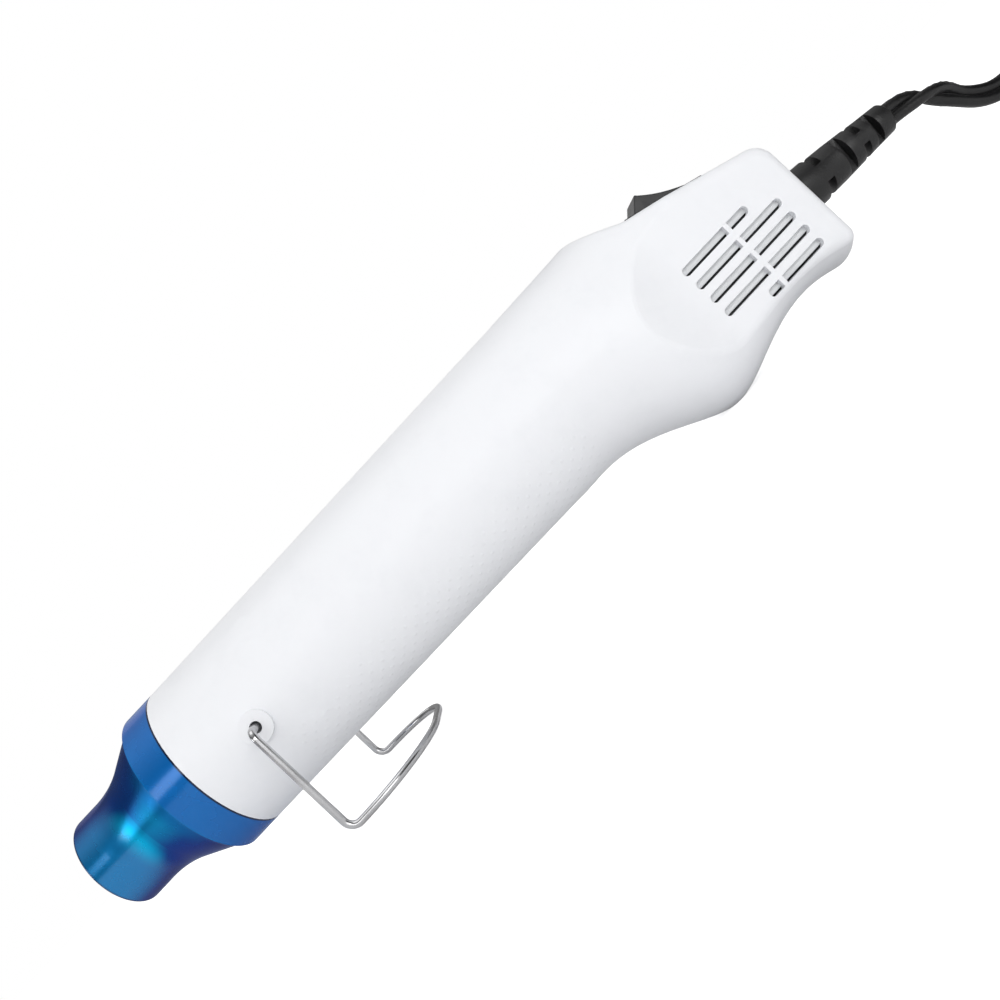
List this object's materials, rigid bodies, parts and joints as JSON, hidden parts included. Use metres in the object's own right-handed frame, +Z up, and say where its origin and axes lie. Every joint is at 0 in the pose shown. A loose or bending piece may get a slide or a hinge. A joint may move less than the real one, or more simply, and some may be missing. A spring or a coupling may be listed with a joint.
{
  "type": "embossing heat tool",
  "caption": "Slim hand-held hot-air tool with a waisted metal nozzle, folding wire stand, rocker switch, vented tail and mains lead.",
  "frame": {"origin": "on the table, under the middle of the tool's footprint, lead and plug left out", "axes": "+X from the nozzle to the lead, +Y to the side without a view in the picture, +Z up"},
  "size_m": [0.3881, 0.0781, 0.0558],
  "materials": {
    "case": "cool white moulded plastic, satin",
    "nozzle": "blue anodised metal, glossy",
    "stand_wire": "bright drawn steel wire",
    "vent": "light grey plastic",
    "switch": "black moulded plastic",
    "relief_rubber": "black rubber, matt",
    "cord_jacket": "black flexible jacket, satin",
    "plug": "black moulded rubber",
    "blades": "plated brass",
    "tie": "black tie",
    "screws": "bright zinc plating",
    "air_tube": "stainless steel",
    "mica": "mica board",
    "heating_wire": "resistance wire",
    "lead_sleeve": "woven glass sleeve",
    "supply_wire": "red insulated wire",
    "cutout": "ceramic body",
    "housing": "dark grey heat-resistant plastic",
    "fan": "natural nylon",
    "motor_steel": "plated steel",
    "magnet": "ferrite",
    "brass": "bare brass",
    "board": "green glass-fibre board",
    "diode": "black moulded",
    "capacitor": "orange dipped"
  },
  "bodies": {
    "root": {"capacitor": "capacitor", "case_screws": "screws", "circuit_board": "board", "clamp_screws": "screws", "cord_clamp": "housing", "cord_coil": "cord_jacket", "cord_tie": "tie", "diodes": "diode", "fan_housing": "housing", "heat_tube": "air_tube", "heater_coil": "heating_wire", "heater_leads": "lead_sleeve", "lead_inner_end": "cord_jacket", "left_shell": "case", "mica_former": "mica", "mica_sleeve": "mica", "motor_bushes": "brass", "motor_can": "motor_steel", "motor_end_cap": "fan", "motor_magnets": "magnet", "nozzle_cap": "nozzle", "plug_blades": "blades", "plug_body": "plug", "plug_cord": "cord_jacket", "power_cord": "cord_jacket", "right_shell": "case", "strain_relief": "relief_rubber", "supply_leads": "supply_wire", "switch_body": "switch", "switch_terminals": "brass", "thermal_cutout": "cutout", "vent_screens": "vent"},
    "stand": {"bail_stand": "stand_wire"},
    "rocker": {"rocker": "switch"},
    "rotor": {"motor_shaft": "motor_steel", "armature": "motor_steel", "commutator": "brass", "fan_wheel": "fan"}
  },
  "joints": [
    {"name": "stand_hinge", "type": "hinge", "parent": "root", "child": "stand", "pos_m": [-0.05885, 0, 0.0307], "axis": [0, 1, 0], "range_deg": [-15, 100]},
    {"name": "rocker_tilt", "type": "hinge", "parent": "root", "child": "rocker", "pos_m": [0.08967, 0, 0.04237], "axis": [0, -1, 0], "range_deg": [0, 25]},
    {"name": "fan_spin", "type": "hinge", "parent": "root", "child": "rotor", "pos_m": [0, 0, 0.0334], "axis": [1, 0, 0], "continuous": true}
  ]
}
